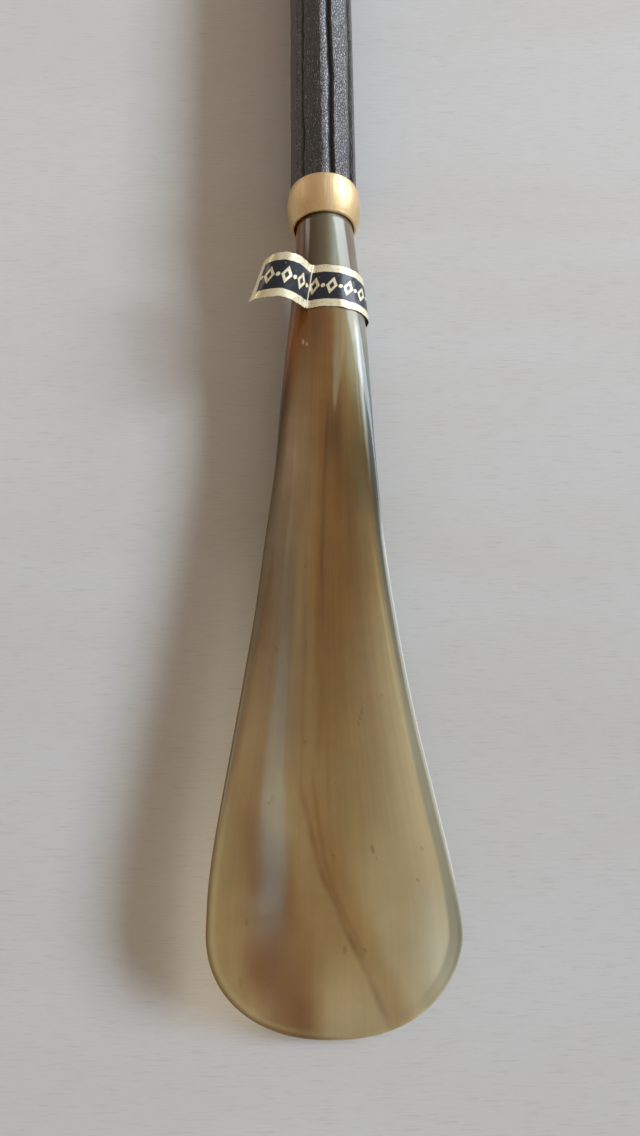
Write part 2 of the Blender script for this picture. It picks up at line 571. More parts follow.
def build_blade():
    t = np.linspace(0, 2 * np.pi, 260, endpoint=False)
    stations = np.concatenate([[0.0, 0.01, 0.03, 0.07, 0.13, 0.22, 0.34, 0.5, 0.7, 0.95, 1.25, 1.6, 2.0, 2.5, 3.0, 3.5, 4.0],
                               np.arange(4.5, S_NECK_END - 0.3, 0.5), [S_NECK_END - 0.15, S_NECK_END]])
    P, Q, E, U = [], [], [], []
    for s in stations:
        p, q, e, up = section(s, t)
        if s == 0.0:
            p = np.stack([side_shift(0.0) + 0.9 * np.cos(t), np.zeros_like(t), (top_line(0.0) + bottom_line(0.0)) / 2 + 0.12 * np.sin(t)], -1)
            q = 0.0366 * np.cos(t)
            e = np.zeros_like(t)
        P.append(p), Q.append(q), E.append(e), U.append(up)
    P, Q, E, U = map(np.array, (P, Q, E, U))
    S = P[..., 1]
    # slow unevenness left by scraping and polishing, smaller than the eye reads as a bump
    wave = (noise2(Q * 2.4 + 30, S / 15.0, 21) * 0.06 + noise2(Q * 5 + 60, S / 34.0, 22) * 0.035) * step(0.4, 3.0, E) * step(0, 4, S)
    P[..., 2] += wave * np.where(U > 0, 1.0, 0.4)
    P[..., 2] = np.maximum(P[..., 2], 0.02)
    col = rgb_linear(horn_colour(Q, S, U, E))
    ob = grid_mesh("horn_blade_surface", P, attributes={"horn_col": col, "q": Q, "s": S, "edge": E, "up": U})
    return ob


def horn_material(name, from_attributes=True):
    m = Nodes(name)
    tc = m.n("TexCoord").outputs["Object"]
    sep = m.n("SeparateXYZ")
    m.set(sep, 0, tc)
    if from_attributes:
        base = m.attr("horn_col", "Color")
        q, s = m.attr("q"), m.attr("s")
        along = m.math("MULTIPLY", s, 0.001)
        across = q
    else:
        ang = m.math("ARCTAN2", sep.outputs[0], m.math("SUBTRACT", sep.outputs[2], AXIS_Z / 1000))
        across = m.math("SINE", ang)
        along = sep.outputs[1]
        v0 = m.combine(m.math("MULTIPLY", sep.outputs[0], 190.0), m.math("MULTIPLY", sep.outputs[1], 30.0), m.math("MULTIPLY", sep.outputs[2], 190.0))
        base = m.ramp(m.noise(v0, 1.0, 4, 0.6, 0.8), [(0.28, srgb(74, 46, 24)), (0.40, srgb(118, 80, 44)), (0.52, srgb(142, 108, 64)), (0.64, srgb(176, 152, 108)), (0.76, srgb(126, 86, 46))])
    # long fibres, finer than the colour map
    v1 = m.combine(m.math("MULTIPLY", across, 42.0), m.math("MULTIPLY", along, 34.0), 0.0)
    fib = m.noise(v1, 1.0, 5, 0.6, 0.5)
    v2 = m.combine(m.math("MULTIPLY", across, 130.0), m.math("MULTIPLY", along, 60.0), 4.0)
    fib2 = m.noise(v2, 1.0, 3, 0.6, 0.3)
    mott = m.noise(tc, 260.0, 5, 0.6)
    col = m.mix(0.14, base, m.ramp(fib, [(0.30, srgb(150, 150, 150)), (0.5, srgb(188, 188, 188)), (0.7, srgb(224, 222, 216))]), "SOFT_LIGHT")
    col = m.mix(0.16, col, m.ramp(mott, [(0.30, srgb(140, 140, 140)), (0.5, srgb(188, 188, 188)), (0.7, srgb(232, 230, 224))]), "SOFT_LIGHT")
    dark = m.maprange(fib2, 0.60, 0.76, 0.0, 0.10)
    col = m.mix(dark, col, srgb(96, 66, 36))
    # scratches: thin, mostly lengthwise
    w1 = m.combine(m.math("MULTIPLY", sep.outputs[0], 1900.0), m.math("MULTIPLY", sep.outputs[1], 95.0), m.math("MULTIPLY", sep.outputs[2], 1900.0))
    scr = m.noise(w1, 1.0, 2, 0.5)
    w2 = m.combine(m.math("MULTIPLY", sep.outputs[0], 120.0), m.math("MULTIPLY", sep.outputs[1], 1500.0), m.math("MULTIPLY", sep.outputs[2], 120.0))
    scr2 = m.noise(w2, 1.0, 2, 0.5)
    rough = m.maprange(m.noise(tc, 150.0, 4, 0.6), 0.3, 0.75, 0.10, 0.17)
    rough = m.math("ADD", rough, m.maprange(scr, 0.62, 0.72, 0.0, 0.12))
    h = m.math("ADD", m.math("MULTIPLY", fib, 0.4), m.math("MULTIPLY", m.maprange(scr, 0.66, 0.75, 0.0, 1.0), -0.20))
    h = m.math("ADD", h, m.math("MULTIPLY", m.maprange(scr2, 0.70, 0.78, 0.0, 1.0), -0.12))
    normal = m.bump(h, 0.10, 0.00012)
    b = m.n("BsdfPrincipled")
    for k, v in (("Base Color", col), ("Roughness", rough), ("IOR", 1.5), ("Normal", normal), ("Subsurface Weight", 0.30), ("Subsurface Scale", 0.0030),
                 ("Coat Weight", 0.25), ("Coat Roughness", 0.07), ("Specular IOR Level", 0.5)):
        m.set(b, k, v)
    b.inputs["Subsurface Radius"].default_value = (1.0, 0.62, 0.34)
    b.subsurface_method = "RANDOM_WALK"
    # light also comes straight through: a warm thin sheet
    tr = m.n("BsdfTranslucent")
    if from_attributes:
        bright = m.mix(m.maprange(q, -0.2, 0.6), srgb(236, 190, 122), srgb(240, 222, 186))
    else:
        bright = srgb(236, 190, 122)
    m.set(tr, "Color", m.mix(m.maprange(s, 55.0, 95.0, 0.42, 0.16) if from_attributes else 0.3, col, bright, "MIX"))
    # the shine belongs to the whole surface, so the sheet part keeps it too
    gl = m.n("BsdfGlossy")
    m.set(gl, "Color", (1, 1, 1, 1))
    m.set(gl, "Roughness", rough)
    m.set(gl, "Normal", normal)
    fr = m.n("Fresnel")
    fr.inputs["IOR"].default_value = 1.5
    m.set(fr, "Normal", normal)
    sheet = m.n("MixShader")
    m.set(sheet, 0, fr)
    m.t.links.new(tr.outputs[0], sheet.inputs[1])
    m.t.links.new(gl.outputs[0], sheet.inputs[2])
    mixs = m.n("MixShader")
    if from_attributes:
        m.set(mixs, 0, m.maprange(s, 100.0, 146.0, 0.60, 0.12))
    else:
        m.set(mixs, 0, 0.2)
    m.t.links.new(b.outputs[0], mixs.inputs[1])
    m.t.links.new(sheet.outputs[0], mixs.inputs[2])
    # part of the light that reaches the table has come through the horn
    lp = m.n("LightPath")
    tp = m.n("BsdfTransparent")
    tp.inputs[0].default_value = (1.0, 0.94, 0.84, 1)
    solid = m.n("MixShader")
    if from_attributes:
        wall = m.math("ADD", m.maprange(q, -0.88, -0.72, 0.10, 1.0), m.maprange(q, 0.0, 0.5, 0.0, 0.0))
        thin = m.math("MULTIPLY", m.math("MULTIPLY", m.maprange(s, 24.0, 108.0, 1.0, 0.05, "LINEAR"), m.maprange(s, 1.0, 5.0, 0.4, 1.0)), wall)
    else:
        thin = 0.1
    m.set(solid, 0, m.math("MULTIPLY", lp.outputs["Is Shadow Ray"], thin))
    m.t.links.new(mixs.outputs[0], solid.inputs[1])
    m.t.links.new(tp.outputs[0], solid.inputs[2])
    def seen_first(other):
        """What the camera meets is never clear, only what light meets."""
        whole = m.n("MixShader")
        m.set(whole, 0, lp.outputs["Is Camera Ray"])
        m.t.links.new(other.outputs[0], whole.inputs[1])
        m.t.links.new(mixs.outputs[0], whole.inputs[2])
        return whole.outputs[0]

    if not from_attributes:
        return m.finish(seen_first(solid))
    # inside the sheet, the far face lets the light on
    geo = m.n("NewGeometry")
    clear = m.n("BsdfTransparent")
    m.t.links.new(m.mix(m.maprange(q, -0.2, 0.6), (0.78, 0.69, 0.56, 1), (0.97, 0.94, 0.87, 1)), clear.inputs[0])
    last = m.n("MixShader")
    m.set(last, 0, m.math("MULTIPLY", geo.outputs["Backfacing"], m.maprange(s, 96.0, 136.0, 0.92, 0.0)))
    m.t.links.new(solid.outputs[0], last.inputs[1])
    m.t.links.new(clear.outputs[0], last.inputs[2])
    return m.finish(seen_first(last))


# ------------------------------------------------------------------ brass
def brass_material(name, streaks=1.0):
    m = Nodes(name)
    tc = m.n("TexCoord").outputs["Object"]
    sep = m.n("SeparateXYZ")
    m.set(sep, 0, tc)
    v = m.combine(m.math("MULTIPLY", sep.outputs[0], 2600.0), m.math("MULTIPLY", sep.outputs[1], 70.0), m.math("MULTIPLY", sep.outputs[2], 2600.0))
    brush = m.noise(v, 1.0, 3, 0.6)
    v2 = m.combine(m.math("MULTIPLY", sep.outputs[0], 700.0), m.math("MULTIPLY", sep.outputs[1], 24.0), m.math("MULTIPLY", sep.outputs[2], 700.0))
    wide = m.noise(v2, 1.0, 3, 0.6)
    blot = m.noise(tc, 420.0, 4, 0.6)
    col = m.mix(m.maprange(wide, 0.35, 0.70), srgb(234, 204, 156), srgb(240, 213, 172))
    col = m.mix(m.math("MULTIPLY", m.maprange(blot, 0.55, 0.75), 0.14), col, srgb(208, 162, 104))
    col = m.mix(m.math("MULTIPLY", m.maprange(brush, 0.52, 0.70), 0.12), col, srgb(192, 146, 90))
    rough = m.math("ADD", m.maprange(brush, 0.3, 0.7, 0.36, 0.50), m.math("MULTIPLY", blot, 0.10))
    h = m.math("ADD", m.math("MULTIPLY", brush, 0.7), m.math("MULTIPLY", wide, 0.4))
    normal = m.bump(h, 0.34 * streaks, 0.00018)
    b = m.n("BsdfPrincipled")
    for k, val in (("Base Color", col), ("Metallic", 1.0), ("Roughness", rough), ("Normal", normal)):
        m.set(b, k, val)
    return m.finish(b.outputs[0])


def steel_material(name):
    m = Nodes(name)
    tc = m.n("TexCoord").outputs["Object"]
    no = m.noise(tc, 600.0, 3)
    b = m.n("BsdfPrincipled")
    for k, val in (("Base Color", m.mix(no, srgb(140, 140, 142), srgb(182, 182, 180))), ("Metallic", 1.0), ("Roughness", m.maprange(no, 0.3, 0.7, 0.28, 0.42)), ("Normal", m.bump(no, 0.1, 0.0001))):
        m.set(b, k, val)
    return m.finish(b.outputs[0])


def wood_material(name):
    m = Nodes(name)
    tc = m.n("TexCoord").outputs["Object"]
    sep = m.n("SeparateXYZ")
    m.set(sep, 0, tc)
    v = m.combine(m.math("MULTIPLY", sep.outputs[0], 500.0), m.math("MULTIPLY", sep.outputs[1], 14.0), m.math("MULTIPLY", sep.outputs[2], 500.0))
    g = m.noise(v, 1.0, 5, 0.6, 0.8)
    b = m.n("BsdfPrincipled")
    for k, val in (("Base Color", m.ramp(g, [(0.3, srgb(128, 88, 52)), (0.5, srgb(168, 124, 80)), (0.7, srgb(196, 152, 104))])), ("Roughness", 0.62), ("Normal", m.bump(g, 0.3, 0.0002))):
        m.set(b, k, val)
    return m.finish(b.outputs[0])


def build_collar(name, node, body):
    """A turned, slightly uneven thin-walled collar over the CAD one."""
    lo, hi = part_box(node)
    s0, s1 = (lo.y - TIP_Y) * 1000, (hi.y - TIP_Y) * 1000
    length = s1 - s0
    prof = [(0.0, 7.52), (0.9, 7.86), (2.3, 8.25), (4.1, 8.58), (6.0, 8.71), (7.6, 8.62), (8.8, 8.40), (9.8, 8.12)]
    f = smooth(table(prof), 0.8)
    us = np.linspace(0, 1, 72)
    outer = [(u * 9.8, f(u * 9.8)) for u in us]
    rim = 0.12
    loop = [(rim * 0.9, outer[0][1] - 0.06)] + [(max(rim, a), r - (0.03 if a < 0.2 or a > 9.6 else 0.0)) for a, r in outer]
    wall = 0.46
    loop += [(9.8 - 0.05, outer[-1][1] - 0.14), (9.8 - 0.02, outer[-1][1] - wall * 0.6)]
    loop += [(a, r - wall) for a, r in outer[::-1]]
    loop += [(0.02, outer[0][1] - wall * 0.75), (0.02, outer[0][1] - 0.20)]
    loop = np.array(loop)
    ang = np.linspace(0, 2 * np.pi, 220, endpoint=False)
    rows = []
    direction = 1 if node == "lower_collar" else -1
    start = s0 if direction > 0 else s1
    for a, r in loop:
        rr = r + 0.028 * noise_ring(ang, np.full_like(ang, a * 0.35 + 7), 31, 16) + 0.012 * noise_ring(ang, np.full_like(ang, a * 0.2 + 3), 32, 52)
        rows.append(np.stack([rr * np.sin(ang), np.full_like(ang, start + direction * a), AXIS_Z + rr * np.cos(ang)], -1))
    rows.append(rows[0].copy())
    ob = grid_mesh(name, np.array(rows), caps=False)
    return ob


# ------------------------------------------------------------------ leather cover with its creases
GROOVES = (14.0, 64.5, 115.0, 166.5, 218.0, 269.5, 321.5)


def build_cover():
    s0, s1 = S_COLLAR + 0.02, S_UPPER0 - 0.02
    n_ang = 360
    ang = np.linspace(0, 2 * np.pi, n_ang, endpoint=False)
    ss = np.concatenate([np.arange(s0, s0 + 60, 0.22), np.arange(s0 + 60, s1, 0.5), [s1]])
    A, S = np.meshgrid(ang, ss)
    R = np.full_like(A, 7.93)
    deg = np.degrees(A)
    groove = np.zeros_like(A)
    bank = np.zeros_like(A)
    for k, g in enumerate(GROOVES):
        centre = g + 2.2 * noise2(S / 9.0 + 11 * k, S * 0 + k, 41) + 1.1 * noise2(S / 2.2 + 5 * k, S * 0 + k, 42)
        d = ((deg - centre + 180) % 360 - 180) * math.pi / 180 * 8.0
        wid = 0.50 + 0.14 * noise2(S / 5.0 + 17 * k, S * 0 + k, 43)
        groove = np.maximum(groove, np.exp(-np.abs(d / np.maximum(wid, 0.3)) ** 2.6))
        # the bank falls from an arris to the crease
        far = 2.2 + 0.30 * noise2(S / 4.0 + 7 * k, S * 0 + 2 + k, 47) + 0.12 * noise2(S / 1.2 + 3 * k, S * 0 + 4 + k, 48)
        bank = np.maximum(bank, np.where(d < 0, np.clip(1 + d / far, 0, 1), np.clip(1 - d / 0.7, 0, 1)))
    # flat from each crease to the next arris
    gs = list(GROOVES) + [GROOVES[0] + 360.0]
    flat = np.zeros_like(A)
    for k in range(7):
        lo_a, hi_a = gs[k] + 3.0, gs[k + 1] - 17.0
        mid_a, half_a = (lo_a + hi_a) / 2, (hi_a - lo_a) / 2
        off_a = (deg - mid_a + 180) % 360 - 180
        inside = np.abs(off_a) < half_a
        flat = np.where(inside, 8.0 - 8.0 * math.cos(math.radians(half_a)) / np.cos(np.radians(np.clip(off_a, -half_a, half_a))), flat)
    R += 0.07 - 0.85 * flat - 0.90 * bank - 0.26 * groove
    wr = noise_ring(A, S / 3.4, 44, 60) * 0.55 + noise_ring(A, S / 1.4, 45, 96) * 0.35 + noise_ring(A, S / 9.0, 46, 40) * 0.5
    # herring-bone crinkles
    x = A * 8.0
    her = np.sin((x * 1.0 + S * 0.62) * 5.2 + 2.2 * noise_ring(A, S / 2.0, 49, 40)) * np.sin((x * 1.0 - S * 0.55) * 5.6 + 2.2 * noise_ring(A, S / 2.3, 50, 36))
    R += (0.030 * wr + 0.030 * her) * (1 - 0.7 * groove)
    R = np.clip(R, 6.90, 8.06)
    P = np.stack([R * np.sin(A), S, AXIS_Z + R * np.cos(A)], -1)
    return grid_mesh("shaft_cover_surface", P, attributes={"groove": groove, "ang": A, "s": S, "wr": wr, "her": her, "bank": bank})


def cover_material(name):
    m = Nodes(name)
    tc = m.n("TexCoord").outputs["Object"]
    sep = m.n("SeparateXYZ")
    m.set(sep, 0, tc)
    ang, s = m.attr("ang"), m.attr("s")
    v = m.combine(m.math("MULTIPLY", sep.outputs[0], 1900.0), m.math("MULTIPLY", sep.outputs[1], 1000.0), m.math("MULTIPLY", sep.outputs[2], 1900.0))
    crinkle = m.voronoi(v, 1.0, "DISTANCE_TO_EDGE")
    v2 = m.combine(m.math("MULTIPLY", sep.outputs[0], 3400.0), m.math("MULTIPLY", sep.outputs[1], 1700.0), m.math("MULTIPLY", sep.outputs[2], 3400.0))
    fine = m.noise(v2, 1.0, 4, 0.65)
    long_ = m.noise(m.combine(m.math("MULTIPLY", sep.outputs[0], 900.0), m.math("MULTIPLY", sep.outputs[1], 60.0), m.math("MULTIPLY", sep.outputs[2], 900.0)), 1.0, 4, 0.6, 0.5)
    groove, her = m.attr("groove"), m.attr("her")
    col = m.mix(m.maprange(long_, 0.32, 0.68), srgb(18, 12, 13), srgb(40, 28, 29))
    col = m.mix(m.maprange(crinkle, 0.0, 0.10, 0.45, 0.0), col, srgb(30, 22, 20))
    col = m.mix(m.math("MULTIPLY", groove, 0.95), col, srgb(14, 11, 10))
    # worn high spots have lost their dark finish
    worn = m.math("MULTIPLY", m.maprange(m.attr("wr"), 0.25, 0.9), m.maprange(fine, 0.5, 0.7, 0.0, 0.38))
    col = m.mix(worn, col, srgb(112, 90, 78))
    h = m.math("ADD", m.math("MULTIPLY", m.maprange(crinkle, 0.0, 0.16), 0.7), m.math("MULTIPLY", fine, 0.5))
    h = m.math("ADD", h, m.math("MULTIPLY", long_, 0.8))
    normal = m.bump(h, 0.60, 0.00018)
    shine = m.math("MULTIPLY", m.math("SUBTRACT", 1.0, groove), m.maprange(m.attr("bank"), 0.15, 0.6, 0.28, 0.85))
    rough = m.math("ADD", m.maprange(fine, 0.3, 0.7, 0.24, 0.36), m.math("MULTIPLY", groove, 0.35))
    b = m.n("BsdfPrincipled")
    for k, val in (("Base Color", col), ("Roughness", rough), ("Normal", normal), ("Specular IOR Level", 0.60), ("Coat Weight", shine), ("Coat IOR", 1.6), ("Coat Roughness", 0.26),
                   ("Coat Normal", normal)):
        m.set(b, k, val)
    return m.finish(b.outputs[0])


# ------------------------------------------------------------------ foil band
LABEL_LOW, LABEL_HIGH = (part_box("foil_label")[0].y - TIP_Y) * 1000, (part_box("foil_label")[1].y - TIP_Y) * 1000


def neck_point(s, angle, gap):
    a = math.radians(angle)
    w, top, bottom = half_width(s), top_line(s), bottom_line(s)
    mid = (top + bottom) / 2
    dx, dz = math.sin(a), math.cos(a)
    x, z = w * dx, (top - bottom) / 2 * dz
    q = x / w
    nx, nz = dx / w, dz / ((top - bottom) / 2)
    n = math.hypot(nx, nz)
    return (side_shift(s) + x + gap * nx / n, mid + (rim_line(s) - mid) * (0.82 * q * q + 0.18 * q ** 4) + z + gap * nz / n)


def label_line(s):
    k = (s - LABEL_LOW) / (LABEL_HIGH - LABEL_LOW)
    start = -33.0 + 9.0 * k
    fx, fz = neck_point(s, start, 0.28)
    arch = [(-12.6 + 1.9 * k, 2.6 - 0.3 * k), (-11.0 + 1.5 * k, 3.95 - 0.2 * k), (-8.6 + 1.0 * k, 4.9 + 0.1 * k),
            (-5.9 + 0.6 * k, 5.1 + 0.2 * k), (-3.2 + 0.3 * k, 3.9 + 0.1 * k), (-1.2, 1.75)]
    pts = [(fx + x, fz + z) for x, z in arch] + [(fx + 0.05, fz + 0.2)]
    fold = len(pts) - 1
    a = start + 5.0
    while a <= 150.0:
        loose = float(0.85 * step(50.0, 115.0, a) + 0.35 * step(115.0, 150.0, a))
        pts.append(neck_point(s, a, 0.21 + loose))
        a += 5.0
    return np.array(pts), fold


def resample(pts, n):
    """Points evenly spaced along a smooth curve through pts."""
    d = np.concatenate([[0], np.cumsum(np.hypot(*np.diff(pts, axis=0).T))])
    u = np.linspace(0, d[-1], n)
    # Catmull-Rom through the points
    out = np.zeros((n, 2))
    m = np.gradient(pts, d, axis=0)
    for k, v in enumerate(u):
        i = min(max(int(np.searchsorted(d, v)) - 1, 0), len(pts) - 2)
        h = d[i + 1] - d[i]
        t = (v - d[i]) / h
        out[k] = ((1 + 2 * t) * (1 - t) ** 2 * pts[i] + t * (1 - t) ** 2 * h * m[i]
                  + t * t * (3 - 2 * t) * pts[i + 1] + t * t * (t - 1) * h * m[i + 1])
    return out, u


def build_label():
    nb, na = 60, 400
    mid, nor, arc, folds = [], [], [], []
    for j in range(nb):
        s = LABEL_LOW + (LABEL_HIGH - LABEL_LOW) * j / (nb - 1.0)
        pts, fold = label_line(s)
        c, u = resample(pts, na)
        folds.append(np.hypot(*np.diff(pts[:fold + 1], axis=0).T).sum())
        t = np.gradient(c, axis=0)
        t /= np.linalg.norm(t, axis=1)[:, None]
        mid.append(np.stack([c[:, 0], np.full(na, s), c[:, 1]], -1))
        nor.append(np.stack([-t[:, 1], np.zeros(na), t[:, 0]], -1))
        arc.append(u)
    mid, nor, arc = np.array(mid), np.array(nor), np.array(arc)
    B = np.repeat(np.linspace(0, 1, nb)[:, None], na, 1)
    fold_a = np.array(folds)[:, None] + 0 * arc
    # crumples: flat facets between sharp creases, stronger where the strip is loose
    off = arc - fold_a
    loose = np.clip(step(-0.6, -2.5, off) + step(4.5, 8.5, off), 0, 1)
    y = B * 10
    crease = noise2((arc + y * 0.35) / 2.9, (y - arc * 0.2) / 4.6, 51, True) * 0.15 + noise2((arc - y * 0.5) / 1.5, (y + arc * 0.3) / 2.1, 52, True) * 0.06
    crease += noise2(arc / 0.7, y / 0.9, 53, True) * 0.015
    calm = noise2(arc / 3.0, y / 4.0, 54) * 0.03 + noise2(arc / 0.9, y / 1.1, 55, True) * 0.012
    disp = crease * loose + calm * (1 - loose) + 0.02
    disp = disp + 0.22 * np.exp(-np.abs(off) / 0.22)
    disp = np.maximum(disp, np.where(off > 0.5, -0.08, -1.0))
    # ragged long edges
    rag = 0.06 * noise2(arc / 0.7, B * 0 + 3, 56) + 0.10 * noise2(arc / 2.1, B * 0 + 8, 57)
    mid[..., 1] += rag * (B - 0.5) * 2 * np.where(np.abs(B - 0.5) > 0.3, 1, 0.4)
    top = mid + nor * (disp + 0.05)[..., None]
    bot = mid + nor * (disp - 0.05)[..., None]
    ring = np.concatenate([top, bot[:, ::-1]], 1)
    a2 = np.concatenate([arc, arc[:, ::-1]], 1)
    b2 = np.concatenate([B, B[:, ::-1]], 1)
    o2 = np.concatenate([off, off[:, ::-1]], 1)
    face = np.concatenate([np.ones_like(arc), np.zeros_like(arc)], 1)
    ob = grid_mesh("foil_label_strip", ring, attributes={"a": a2, "b": b2, "off": o2, "face": face}, caps=False)
    import bmesh
    bm = bmesh.new()
    bm.from_mesh(ob.data)
    bm.verts.ensure_lookup_table()
    n2 = 2 * na
    for row in (0, nb - 1):
        for k in range(na - 1):
            quad = [bm.verts[row * n2 + v] for v in (k, k + 1, n2 - 2 - k, n2 - 1 - k)]
            bm.faces.new(quad).smooth = False
    bmesh.ops.recalc_face_normals(bm, faces=bm.faces)
    bm.to_mesh(ob.data)
    bm.free()
    ob.data.update()
    return ob


def label_material(name):
    m = Nodes(name)
    tc = m.n("TexCoord").outputs["Object"]
    a, b, off, face = m.attr("a"), m.attr("b"), m.attr("off"), m.attr("face")
    wob = m.math("MULTIPLY", m.math("SUBTRACT", m.noise(tc, 900.0, 2), 0.5), 0.02)
    bb = m.math("ADD", b, wob)
    edge = m.math("MINIMUM", bb, m.math("SUBTRACT", 1.0, bb))
    border = m.maprange(edge, 0.170, 0.182, 1.0, 0.0, "LINEAR")
    endb = m.maprange(m.math("ADD", a, m.math("MULTIPLY", wob, 8.0)), 1.35, 1.5, 1.0, 0.0, "LINEAR")
    gold_m = m.math("MAXIMUM", border, endb)
    # a plain row of lozenges with a dot between each pair
    pitch = 4.0
    ph = m.math("SUBTRACT", m.math("FRACT", m.math("DIVIDE", m.math("SUBTRACT", a, 1.75), pitch)), 0.5)
    dx = m.math("ABSOLUTE", m.math("MULTIPLY", ph, pitch))
    dy = m.math("ABSOLUTE", m.math("MULTIPLY", m.math("SUBTRACT", bb, 0.5), 10.0))
    loz = m.math("ADD", m.math("DIVIDE", dx, 1.30), m.math("DIVIDE", dy, 2.05))
    loz_o = m.maprange(loz, 0.97, 1.03, 1.0, 0.0, "LINEAR")
    loz_i = m.maprange(loz, 0.40, 0.48, 1.0, 0.0, "LINEAR")
    ph2 = m.math("SUBTRACT", m.math("FRACT", m.math("ADD", m.math("DIVIDE", m.math("SUBTRACT", a, 1.75), pitch), 0.5)), 0.5)
    dx2 = m.math("MULTIPLY", ph2, pitch)
    dd = m.math("SQRT", m.math("ADD", m.math("MULTIPLY", dx2, dx2), m.math("MULTIPLY", dy, dy)))
    dot = m.maprange(dd, 0.44, 0.52, 1.0, 0.0, "LINEAR")
    orn = m.math("MAXIMUM", m.math("SUBTRACT", loz_o, loz_i, clamp=True), dot)
    gold_m = m.math("MAXIMUM", gold_m, orn)
    # ink rubbed off along the creases
    rub = m.maprange(m.noise(tc, 1500.0, 3, 0.7), 0.68, 0.74, 0.0, 0.7)
    at_fold = m.maprange(m.math("ABSOLUTE", m.math("ADD", off, m.math("MULTIPLY", wob, 12.0))), 0.10, 0.26, 0.9, 0.0)
    gold_m = m.math("MAXIMUM", gold_m, m.math("MAXIMUM", rub, at_fold))
    gold = m.n("BsdfPrincipled")
    for k, val in (("Base Color", m.mix(m.noise(tc, 700.0, 2), srgb(222, 206, 164), srgb(246, 238, 212))), ("Metallic", 0.55), ("Roughness", m.maprange(m.noise(tc, 1300.0, 3), 0.3, 0.7, 0.24, 0.42)), ("Normal", m.bump(m.noise(tc, 2600.0, 3), 0.25, 0.0001))):
        m.set(gold, k, val)
    ink = m.n("BsdfPrincipled")
    for k, val in (("Base Color", m.mix(m.noise(tc, 500.0, 3), srgb(9, 17, 27), srgb(17, 29, 43))), ("Metallic", 0.0), ("Roughness", 0.30), ("Coat Weight", 0.25), ("Coat Roughness", 0.12), ("Normal", m.bump(m.noise(tc, 2200.0, 3), 0.22, 0.0001))):
        m.set(ink, k, val)
    front = m.n("MixShader")
    m.set(front, 0, gold_m)
    m.t.links.new(ink.outputs[0], front.inputs[1])
    m.t.links.new(gold.outputs[0], front.inputs[2])
    paper = m.n("BsdfPrincipled")
    for k, val in (("Base Color", m.mix(m.noise(tc, 800.0, 3), srgb(96, 84, 66), srgb(132, 118, 96))), ("Roughness", 0.7)):
        m.set(paper, k, val)
    both = m.n("MixShader")
    m.set(both, 0, face)
    m.t.links.new(paper.outputs[0], both.inputs[1])
    m.t.links.new(front.outputs[0], both.inputs[2])
    return m.finish(both.outputs[0])


# ------------------------------------------------------------------ hanging cord
def cord_path():
    h = HOLE_S
    r, bend, out, reach, clasp, tail = 1.5, 3.2, 12.0, 62.0, 8.0, 8.5
    leg = out + bend
    near, far = h + reach - clasp / 2, h + reach + clasp / 2
    side = r + 0.07
    half = [(0.6 * k, h) for k in range(0, int(out / 0.6) + 1)] + [(out, h)]
    for k in range(1, 8):
        a = math.pi / 2 * k / 8.0
        half.append((out + bend * math.sin(a), h + bend * (1 - math.cos(a))))
    spread = table([(bend, leg), (12.0, leg + 0.55), (24.0, leg - 1.0), (36.0, leg - 5.6),
                    (46.0, side + 3.4), (52.0, side + 0.6), (reach - clasp / 2, side)])
    line = smooth(spread, 3.5)
    b = bend
    while b < reach - clasp / 2 - 0.5:
        k = float(step(bend, bend + 6.0, b)) * (1 - float(step(50.0, 55.0, b)))
        half.append((line(b) * k + spread(b) * (1 - k), h + b))
        b += 1.1
    half += [(side, near + (far - near) * k / 8.0) for k in range(0, 9)]
    half += [(side + 1.3 * (k / 9.0) ** 2, far + tail * k / 9.0) for k in range(1, 10)]
    pts = [(-x, y) for x, y in half[:0:-1]] + half
    return np.array(pts)


def build_cord():
    pts = cord_path()
    keep = [0]
    for k in range(1, len(pts)):
        if np.hypot(*(pts[k] - pts[keep[-1]])) > 0.15:
            keep.append(k)
    pts = pts[keep]
    L = np.concatenate([[0], np.cumsum(np.hypot(*np.diff(pts, axis=0).T))])[-1]
    n = int(L / 0.28)
    c, u = resample(pts, n)
    for _ in range(3):
        c[1:-1] = (c[:-2] + 2 * c[1:-1] + c[2:]) / 4
    t = np.gradient(c, axis=0)
    t /= np.linalg.norm(t, axis=1)[:, None]
    ang = np.linspace(0, 2 * np.pi, 40, endpoint=False)
    U, A = np.meshgrid(u, ang, indexing="ij")
    # two strands twisted together, inside the CAD cord's round
    tw = A - 2 * np.pi * U / 7.4
    R = 1.46 * (0.80 + 0.20 * np.abs(np.cos(tw)) ** 0.55)
    R += 0.02 * noise_ring(tw, U / 1.2, 61, 12)
    tip = np.minimum(U, L - U)
    R *= np.where(tip < 0.45, 0.80 + 0.20 * np.sqrt(np.clip(tip / 0.45, 0, 1)), 1.0)
    N = np.stack([t[:, 1], -t[:, 0]], -1)
    x = c[:, None, 0] + N[:, None, 0] * R * np.cos(A)
    s = c[:, None, 1] + N[:, None, 1] * R * np.cos(A)
    z = np.full_like(x, HINGE[2] * 1000) + R * np.sin(A)
    droop = math.radians(cord_droop())
    ds, dz = s - HOLE_S, z - HINGE[2] * 1000
    s2 = HOLE_S + ds * math.cos(droop) + dz * math.sin(droop)
    z2 = HINGE[2] * 1000 - ds * math.sin(droop) + dz * math.cos(droop)
    gr = np.abs(np.sin(tw)) ** 3
    return grid_mesh("hanging_cord_twist", np.stack([x, s2, z2], -1), attributes={"groove": gr, "u": U})


def cord_droop():
    """The slope of the loop at rest, from where its clasp is."""
    lo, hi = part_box("cord_clasp")
    c = (lo + hi) / 2
    return math.degrees(math.atan2(HINGE[2] - c.z, c.y - HINGE[1]))


